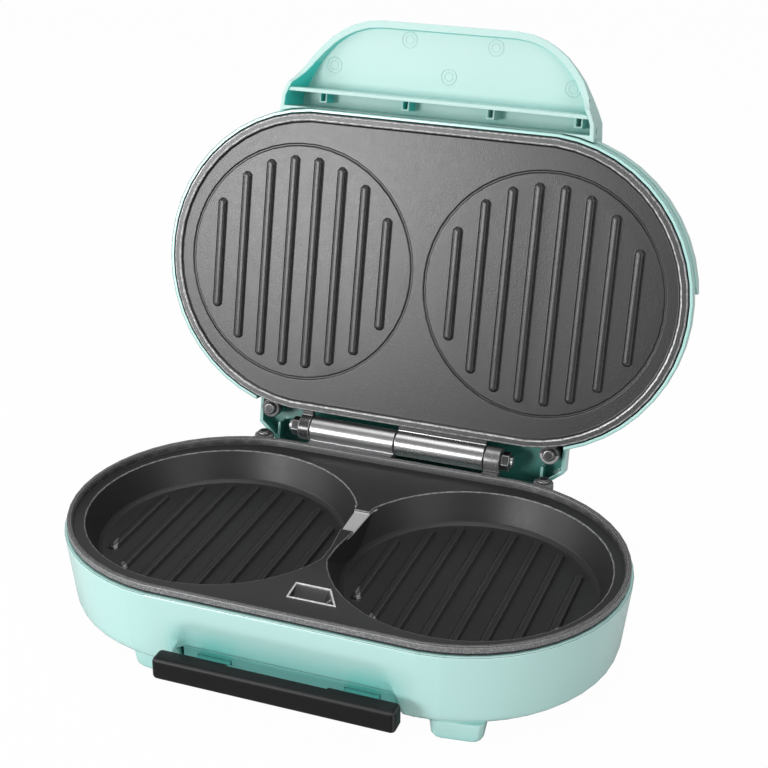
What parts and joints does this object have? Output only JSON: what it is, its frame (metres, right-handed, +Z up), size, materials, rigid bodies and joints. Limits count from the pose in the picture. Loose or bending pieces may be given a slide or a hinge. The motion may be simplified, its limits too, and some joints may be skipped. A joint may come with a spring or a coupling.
{
  "type": "hamburger maker",
  "caption": "Countertop hamburger maker standing open: oval hinged lid with ribbed upper plate and front handle, lower plate with round ribbed wells, pull-out drip tray.",
  "frame": {"origin": "on the table under the middle of the box around the open hamburger maker", "axes": "+X along the plates to the right as seen from the front, +Y to the hinge at the back, +Z up from the table"},
  "size_m": [0.2734, 0.2368, 0.2575],
  "materials": {
    "mint_housing": "satin moulded mint plastic",
    "mint_lid": "satin moulded mint plastic",
    "mint_cover": "glossy moulded mint plastic",
    "mint_tray": "satin moulded mint plastic",
    "black_bar": "satin moulded black plastic",
    "coated_plate": "dark speckled non-stick coating on cast aluminium",
    "bright_steel": "plain bright steel",
    "dark_screw": "blackened steel",
    "heater_sheath": "dull steel sheath",
    "bright_sheet": "bright sheet",
    "rubber_pad": "matt",
    "black_gland": "matt",
    "ivory_block": "matt",
    "red_lens": "clear coloured plastic",
    "green_lens": "clear coloured plastic",
    "lamp_glass": "clear glass",
    "lead_sleeve": "woven sleeve"
  },
  "bodies": {
    "base": {"lower_housing": "mint_housing", "lower_plate": "coated_plate", "hinge_axle": "bright_steel", "axle_nut_left": "bright_steel", "axle_nut_right": "bright_steel", "lower_heater": "heater_sheath", "tray_tunnel": "bright_sheet", "terminal_block": "ivory_block", "cord_clamp": "ivory_block", "cord_gland": "black_gland", "thermostat": "bright_steel", "thermal_fuse": "lead_sleeve", "foot_pad_front_left": "rubber_pad", "foot_pad_front_right": "rubber_pad", "foot_pad_rear_left": "rubber_pad", "foot_pad_rear_right": "rubber_pad", "heater_clamp_lower_left": "bright_steel", "clamp_screw_lower_left": "dark_screw", "heater_clamp_lower_right": "bright_steel", "clamp_screw_lower_right": "dark_screw", "plate_screw_left": "dark_screw", "cord_clamp_screw_left": "dark_screw", "heater_lead_left": "lead_sleeve", "plate_screw_right": "dark_screw", "cord_clamp_screw_right": "dark_screw", "heater_lead_right": "lead_sleeve", "thermostat_lead": "lead_sleeve", "fuse_lead": "lead_sleeve"},
    "lid": {"lid_shell": "mint_lid", "lid_cover": "mint_cover", "upper_plate": "coated_plate", "upper_heater": "heater_sheath", "reflector": "bright_sheet", "indicator_lens_left": "red_lens", "indicator_lens_right": "green_lens", "lamp_left": "lamp_glass", "lamp_right": "lamp_glass", "lamp_lead_left": "lead_sleeve", "lamp_lead_right": "lead_sleeve", "heater_clamp_upper_left": "bright_steel", "heater_clamp_upper_right": "bright_steel", "clamp_screw_upper_left": "dark_screw", "clamp_screw_upper_right": "dark_screw", "lid_screw_left": "dark_screw", "lid_screw_right": "dark_screw", "cover_screw_left_0": "dark_screw", "cover_screw_left_1": "dark_screw", "cover_screw_right_0": "dark_screw", "cover_screw_right_1": "dark_screw", "reflector_screw_0": "dark_screw", "reflector_screw_1": "dark_screw", "reflector_screw_2": "dark_screw", "reflector_screw_3": "dark_screw"},
    "tray": {"drip_tray": "mint_tray", "tray_bar": "black_bar"}
  },
  "joints": [
    {"name": "lid_hinge", "type": "hinge", "parent": "base", "child": "lid", "pos_m": [0, 0.05651, 0.0558], "axis": [1, 0, 0], "range_deg": [0, 102.35]},
    {"name": "tray_slide", "type": "slide", "parent": "base", "child": "tray", "axis": [0, -1, 0], "range_m": [0, 0.07]}
  ]
}
